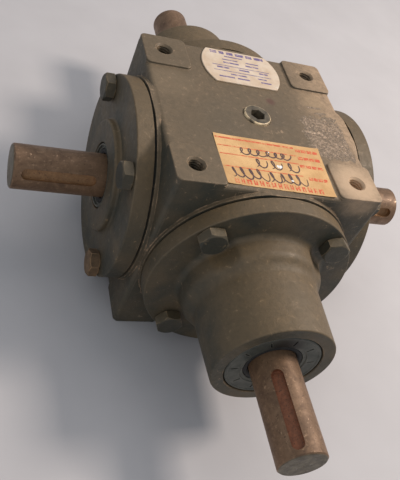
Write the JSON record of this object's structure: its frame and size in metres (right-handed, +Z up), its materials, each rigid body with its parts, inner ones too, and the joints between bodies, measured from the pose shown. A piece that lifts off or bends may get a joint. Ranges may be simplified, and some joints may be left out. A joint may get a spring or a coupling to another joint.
{
  "type": "right angle bevel gearbox",
  "caption": "Right angle bevel gearbox: a cube cast housing with a through cross shaft and two opposed pinion shafts in long quills, keyed ends, tapped pads on top and base.",
  "frame": {"origin": "where the axes of the cross shaft and the pinion shafts cross, at the centre of the housing cube", "axes": "+X along the cross shaft to its right end, +Y along the pinion shafts to the rear, +Z up out of the face with the fill plug"},
  "size_m": [0.254, 0.3576, 0.1206],
  "materials": {
    "housing_paint": "worn dark olive enamel on rough cast iron",
    "cap_paint": "dark green-grey enamel on cast iron",
    "shaft_steel": "turned steel with a brown film of rust",
    "gear_steel": "machined hardened steel, oiled",
    "bearing_steel": "ground bearing steel",
    "bolt_steel": "olive painted and rusted bolt heads",
    "plug_steel": "steel worn bright at its rim",
    "seal_steel": "dark grey rubber covered case",
    "gasket": "dark gasket",
    "nameplate": "printed aluminium",
    "label_paper": "aged paper label with red print"
  },
  "bodies": {
    "housing": {"housing": "housing_paint", "left_cap": "cap_paint", "right_cap": "cap_paint", "front_quill": "cap_paint", "rear_quill": "cap_paint", "fill_plug": "plug_steel", "drain_plug": "plug_steel", "nameplate": "nameplate", "paper_label": "label_paper", "left_gasket": "gasket", "left_seal": "seal_steel", "right_gasket": "gasket", "right_seal": "seal_steel", "front_gasket": "gasket", "front_seal": "seal_steel", "rear_gasket": "gasket", "rear_seal": "seal_steel", "left_cap_bolt_1": "bolt_steel", "left_cap_bolt_2": "bolt_steel", "left_cap_bolt_3": "bolt_steel", "left_cap_bolt_4": "bolt_steel", "right_cap_bolt_1": "bolt_steel", "right_cap_bolt_2": "bolt_steel", "right_cap_bolt_3": "bolt_steel", "right_cap_bolt_4": "bolt_steel", "front_quill_bolt_1": "bolt_steel", "front_quill_bolt_2": "bolt_steel", "front_quill_bolt_3": "bolt_steel", "front_quill_bolt_4": "bolt_steel", "rear_quill_bolt_1": "bolt_steel", "rear_quill_bolt_2": "bolt_steel", "rear_quill_bolt_3": "bolt_steel", "rear_quill_bolt_4": "bolt_steel", "left_bearing_cup": "bearing_steel", "right_bearing_cup": "bearing_steel", "front_inner_bearing_cup": "bearing_steel", "front_outer_bearing_cup": "bearing_steel", "rear_inner_bearing_cup": "bearing_steel", "rear_outer_bearing_cup": "bearing_steel"},
    "cross_shaft": {"cross_shaft": "shaft_steel", "cross_gear": "gear_steel", "cross_gear_key": "gear_steel", "left_bearing_cone": "bearing_steel", "right_bearing_cone": "bearing_steel"},
    "front_pinion_shaft": {"front_pinion_shaft": "shaft_steel", "front_pinion": "gear_steel", "front_pinion_key": "gear_steel", "front_inner_bearing_cone": "bearing_steel", "front_outer_bearing_cone": "bearing_steel"},
    "rear_pinion_shaft": {"rear_pinion_shaft": "shaft_steel", "rear_pinion": "gear_steel", "rear_pinion_key": "gear_steel", "rear_inner_bearing_cone": "bearing_steel", "rear_outer_bearing_cone": "bearing_steel"},
    "left_bearing_rollers": {"left_bearing_rollers": "bearing_steel"},
    "right_bearing_rollers": {"right_bearing_rollers": "bearing_steel"},
    "front_inner_bearing_rollers": {"front_inner_bearing_rollers": "bearing_steel"},
    "front_outer_bearing_rollers": {"front_outer_bearing_rollers": "bearing_steel"},
    "rear_inner_bearing_rollers": {"rear_inner_bearing_rollers": "bearing_steel"},
    "rear_outer_bearing_rollers": {"rear_outer_bearing_rollers": "bearing_steel"}
  },
  "joints": [
    {"name": "cross_shaft_spin", "type": "hinge", "parent": "housing", "child": "cross_shaft", "pos_m": [0, 0, 0], "axis": [1, 0, 0], "continuous": true},
    {"name": "front_pinion_spin", "type": "hinge", "parent": "housing", "child": "front_pinion_shaft", "pos_m": [0, 0, 0], "axis": [0, 1, 0], "continuous": true},
    {"name": "rear_pinion_spin", "type": "hinge", "parent": "housing", "child": "rear_pinion_shaft", "pos_m": [0, 0, 0], "axis": [0, 1, 0], "continuous": true},
    {"name": "left_rollers_spin", "type": "hinge", "parent": "housing", "child": "left_bearing_rollers", "pos_m": [0, 0, 0], "axis": [1, 0, 0], "continuous": true},
    {"name": "right_rollers_spin", "type": "hinge", "parent": "housing", "child": "right_bearing_rollers", "pos_m": [0, 0, 0], "axis": [1, 0, 0], "continuous": true},
    {"name": "front_inner_rollers_spin", "type": "hinge", "parent": "housing", "child": "front_inner_bearing_rollers", "pos_m": [0, 0, 0], "axis": [0, 1, 0], "continuous": true},
    {"name": "front_outer_rollers_spin", "type": "hinge", "parent": "housing", "child": "front_outer_bearing_rollers", "pos_m": [0, 0, 0], "axis": [0, 1, 0], "continuous": true},
    {"name": "rear_inner_rollers_spin", "type": "hinge", "parent": "housing", "child": "rear_inner_bearing_rollers", "pos_m": [0, 0, 0], "axis": [0, 1, 0], "continuous": true},
    {"name": "rear_outer_rollers_spin", "type": "hinge", "parent": "housing", "child": "rear_outer_bearing_rollers", "pos_m": [0, 0, 0], "axis": [0, 1, 0], "continuous": true}
  ],
  "couplings": [
    {"joint": "front_pinion_spin", "follows": "cross_shaft_spin", "ratio": 1},
    {"joint": "rear_pinion_spin", "follows": "cross_shaft_spin", "ratio": -1},
    {"joint": "left_rollers_spin", "follows": "cross_shaft_spin", "ratio": 0.4482},
    {"joint": "right_rollers_spin", "follows": "cross_shaft_spin", "ratio": 0.4482},
    {"joint": "front_inner_rollers_spin", "follows": "cross_shaft_spin", "ratio": 0.4482},
    {"joint": "front_outer_rollers_spin", "follows": "cross_shaft_spin", "ratio": 0.4482},
    {"joint": "rear_inner_rollers_spin", "follows": "cross_shaft_spin", "ratio": -0.4482},
    {"joint": "rear_outer_rollers_spin", "follows": "cross_shaft_spin", "ratio": -0.4482}
  ]
}
